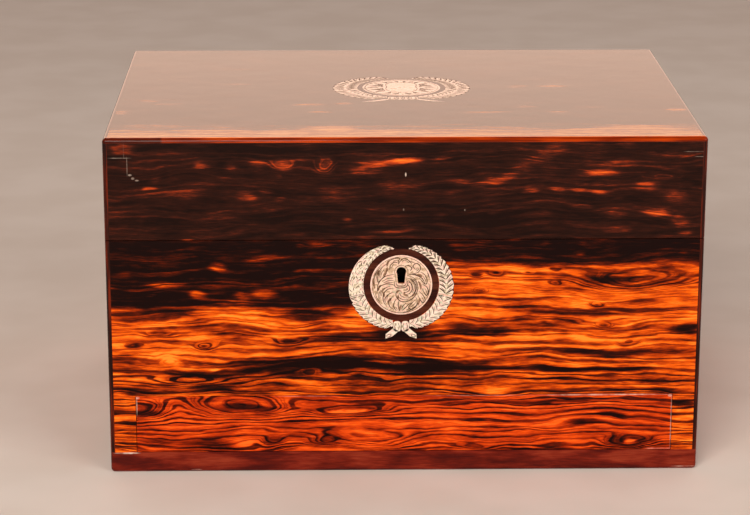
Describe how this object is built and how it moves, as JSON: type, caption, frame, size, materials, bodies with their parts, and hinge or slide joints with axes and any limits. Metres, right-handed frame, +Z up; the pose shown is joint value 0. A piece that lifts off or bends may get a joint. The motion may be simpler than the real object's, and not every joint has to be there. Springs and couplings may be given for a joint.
{
  "type": "vanity box",
  "caption": "Veneered vanity box with a hinged lid, a low front drawer, pearl inlay round the keyhole and on the lid, and a fitted inside with a tray, glass vessels and a mirror.",
  "frame": {"origin": "middle of the underside of the base board", "axes": "+X to the right seen from the keyhole side, -Y towards the viewer of that side, +Z up"},
  "size_m": [0.305, 0.2324, 0.178],
  "materials": {
    "rosewood_band": "french polished",
    "coromandel": "french polished",
    "mahogany": "oiled",
    "velvet": "cut pile",
    "pearl": "engraved and polished",
    "brass": "polished, aged",
    "spring_steel": "blued",
    "mirror": "silvered",
    "glass": "cut and polished",
    "silver_plate": "polished"
  },
  "bodies": {
    "case": {"base_board": "rosewood_band", "body_front_board": "mahogany", "body_back_board": "mahogany", "body_side_boards": "mahogany", "body_veneer_front": "coromandel", "body_veneer_back": "coromandel", "body_veneer_sides": "coromandel", "body_corner_edgings": "coromandel", "dust_board": "mahogany", "drawer_guides": "mahogany", "drawer_spring": "spring_steel", "well_facings": "mahogany", "well_floor_pad": "velvet", "well_dividers": "velvet", "keyhole_roundel": "pearl", "escutcheon_ring": "rosewood_band", "escutcheon_wreath": "pearl", "lock_case": "brass", "hinge_leaves_body": "brass", "hinge_pins": "brass", "case_screws": "brass"},
    "lid": {"lid_top_board": "mahogany", "lid_front_board": "mahogany", "lid_back_board": "mahogany", "lid_side_boards": "mahogany", "lid_veneer_top": "coromandel", "lid_veneer_front": "coromandel", "lid_veneer_back": "coromandel", "lid_veneer_sides": "coromandel", "lid_edgings": "coromandel", "lid_roundel": "pearl", "lid_ring": "rosewood_band", "lid_wreath": "pearl", "hinge_leaves_lid": "brass", "lock_link_plate": "brass", "lid_screws": "brass", "mirror_frame": "coromandel", "mirror_plate": "mirror"},
    "drawer": {"drawer_front": "mahogany", "drawer_veneer": "coromandel", "drawer_sides": "mahogany", "drawer_back": "mahogany", "drawer_bottom": "mahogany", "drawer_pad": "velvet"},
    "bolt": {"lock_bolt": "brass"},
    "pin": {"release_pin": "brass"},
    "tray": {"tray_frame": "velvet", "tray_bottom": "velvet", "tray_dividers": "velvet", "tray_knobs": "brass"},
    "powder_jar_left": {"powder_jar_left": "glass"},
    "powder_jar_lid_left": {"powder_jar_lid_left": "silver_plate"},
    "glass_box_left": {"glass_box_left": "glass"},
    "glass_box_lid_left": {"glass_box_lid_left": "silver_plate"},
    "powder_jar_right": {"powder_jar_right": "glass"},
    "powder_jar_lid_right": {"powder_jar_lid_right": "silver_plate"},
    "glass_box_right": {"glass_box_right": "glass"},
    "glass_box_lid_right": {"glass_box_lid_right": "silver_plate"}
  },
  "joints": [
    {"name": "lid_hinge", "type": "hinge", "parent": "case", "child": "lid", "pos_m": [0, 0.1145, 0.125], "axis": [-1, 0, 0], "range_deg": [0, 100]},
    {"name": "drawer_slide", "type": "slide", "parent": "case", "child": "drawer", "axis": [0, -1, 0], "range_m": [0, 0.16]},
    {"name": "bolt_slide", "type": "slide", "parent": "case", "child": "bolt", "axis": [1, 0, 0], "range_m": [0, 0.005]},
    {"name": "pin_slide", "type": "slide", "parent": "case", "child": "pin", "axis": [0, 0, 1], "range_m": [-0.0065, 0]},
    {"name": "tray_lift", "type": "slide", "parent": "case", "child": "tray", "axis": [0, 0, 1], "range_m": [0, 0.034]},
    {"name": "powder_jar_left_lift", "type": "slide", "parent": "case", "child": "powder_jar_left", "axis": [0, 0, 1], "range_m": [0, 0.045]},
    {"name": "powder_jar_lid_lift_left", "type": "slide", "parent": "powder_jar_left", "child": "powder_jar_lid_left", "axis": [0, 0, 1], "range_m": [0, 0.04]},
    {"name": "glass_box_left_lift", "type": "slide", "parent": "case", "child": "glass_box_left", "axis": [0, 0, 1], "range_m": [0, 0.045]},
    {"name": "glass_box_lid_lift_left", "type": "slide", "parent": "glass_box_left", "child": "glass_box_lid_left", "axis": [0, 0, 1], "range_m": [0, 0.04]},
    {"name": "powder_jar_right_lift", "type": "slide", "parent": "case", "child": "powder_jar_right", "axis": [0, 0, 1], "range_m": [0, 0.045]},
    {"name": "powder_jar_lid_lift_right", "type": "slide", "parent": "powder_jar_right", "child": "powder_jar_lid_right", "axis": [0, 0, 1], "range_m": [0, 0.04]},
    {"name": "glass_box_right_lift", "type": "slide", "parent": "case", "child": "glass_box_right", "axis": [0, 0, 1], "range_m": [0, 0.045]},
    {"name": "glass_box_lid_lift_right", "type": "slide", "parent": "glass_box_right", "child": "glass_box_lid_right", "axis": [0, 0, 1], "range_m": [0, 0.04]}
  ]
}
